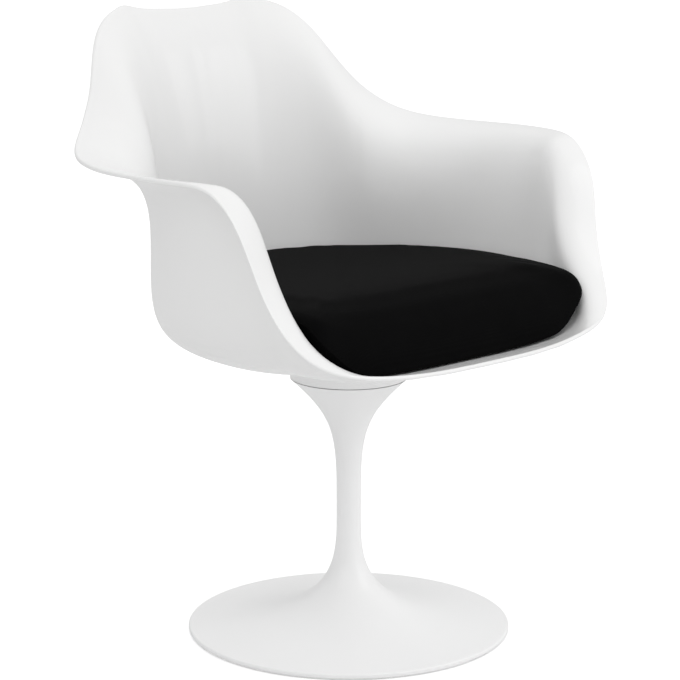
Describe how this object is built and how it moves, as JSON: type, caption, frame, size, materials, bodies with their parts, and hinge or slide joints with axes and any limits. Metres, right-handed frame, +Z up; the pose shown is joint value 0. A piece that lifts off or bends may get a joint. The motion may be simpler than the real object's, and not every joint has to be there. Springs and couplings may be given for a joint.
{
  "type": "swivel armchair",
  "caption": "Armchair with a one-piece moulded shell of low arms and a flared back, a loose seat cushion, and a trumpet-shaped pedestal on which the shell swivels.",
  "frame": {"origin": "on the floor under the axis of the stem", "axes": "+Z up along the stem, the sitter faces -Y, +X to the sitter's left"},
  "size_m": [0.6882, 0.5858, 0.8125],
  "materials": {
    "pedestal_coat": "satin white coating on cast aluminium",
    "glide_plastic": "clear grey soft plastic",
    "bearing_steel": "zinc-plated steel",
    "bush_plastic": "plain bearing plastic",
    "shell_gloss": "gloss white moulded glass-fibre plastic",
    "cushion_cloth": "smooth matte black cloth",
    "foam": "open-cell cushion foam",
    "pad_tape": "black hook-and-loop tape"
  },
  "bodies": {
    "pedestal": {"pedestal_casting": "pedestal_coat", "floor_glide": "glide_plastic", "bearing_cartridge": "bearing_steel", "cartridge_screws": "bearing_steel", "upper_bush": "bush_plastic", "lower_bush": "bush_plastic"},
    "seat": {"thrust_washer": "bush_plastic", "swivel_plate": "bearing_steel", "swivel_spindle": "bearing_steel", "retaining_washer": "bearing_steel", "retaining_ring": "bearing_steel", "neck_collar": "pedestal_coat", "seat_shell": "shell_gloss", "shell_screws": "bearing_steel", "shell_washers": "bearing_steel", "hook_pads": "pad_tape"},
    "cushion": {"cushion_top_cover": "cushion_cloth", "cushion_bottom_cover": "cushion_cloth", "cushion_foam": "foam", "loop_pads": "pad_tape"}
  },
  "joints": [
    {"name": "seat_swivel", "type": "hinge", "parent": "pedestal", "child": "seat", "pos_m": [0, 0, 0.342], "axis": [0, 0, 1], "continuous": true},
    {"name": "cushion_lift", "type": "slide", "parent": "seat", "child": "cushion", "axis": [0, 0, 1], "range_m": [0, 0.12]}
  ]
}
